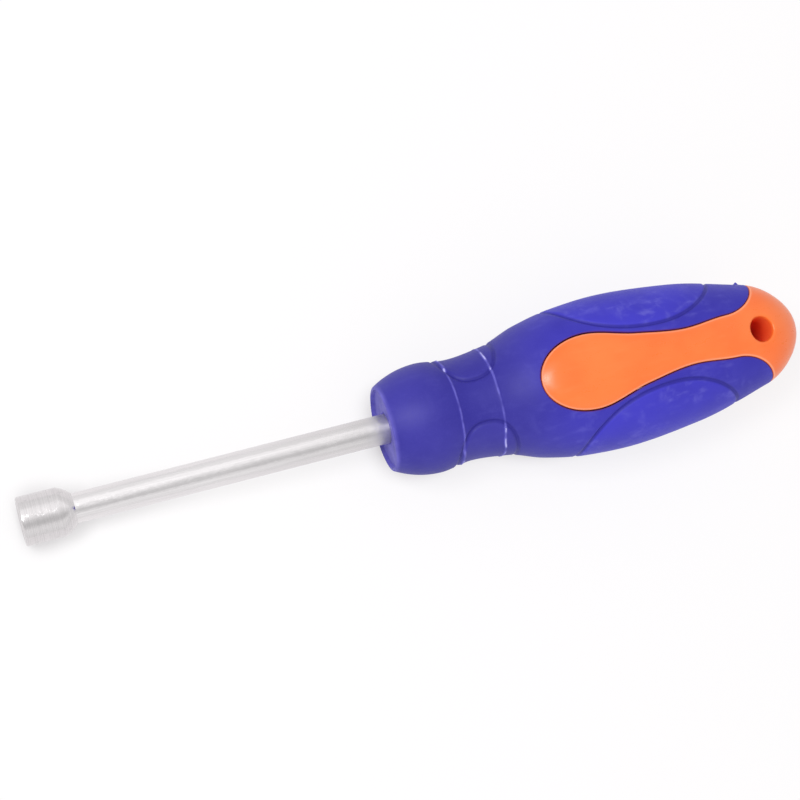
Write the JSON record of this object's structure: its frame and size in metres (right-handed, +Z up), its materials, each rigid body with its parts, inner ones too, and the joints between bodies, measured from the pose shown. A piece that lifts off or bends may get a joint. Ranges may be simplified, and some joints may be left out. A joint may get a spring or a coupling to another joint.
{
  "type": "nut spinner",
  "caption": "Hand nut driver: chamfered hex socket on a round plated shank, in a hard-cored moulded handle with a soft grip, finger pads and a hanging hole.",
  "frame": {"origin": "on the table under the middle of the tool as it lies on its socket rim and the belly of its handle", "axes": "+X along the tool from the socket towards the butt (the tool's axis rises 4.4 degrees towards the butt), +Z up, out of the upper orange panel; the tool mirrors across the XZ plane"},
  "size_m": [0.1906, 0.0368, 0.0326],
  "materials": {
    "socket_chrome": "satin chrome plate, handling scuffs",
    "shank_chrome": "bright chrome plate on a drawn bar",
    "orange_plastic": "satin injection-moulded plastic",
    "blue_rubber": "matte soft overmould with parting lines"
  },
  "bodies": {
    "root": {"socket_head": "socket_chrome", "shank": "shank_chrome", "handle_core": "orange_plastic", "soft_grip": "blue_rubber"}
  },
  "joints": []
}
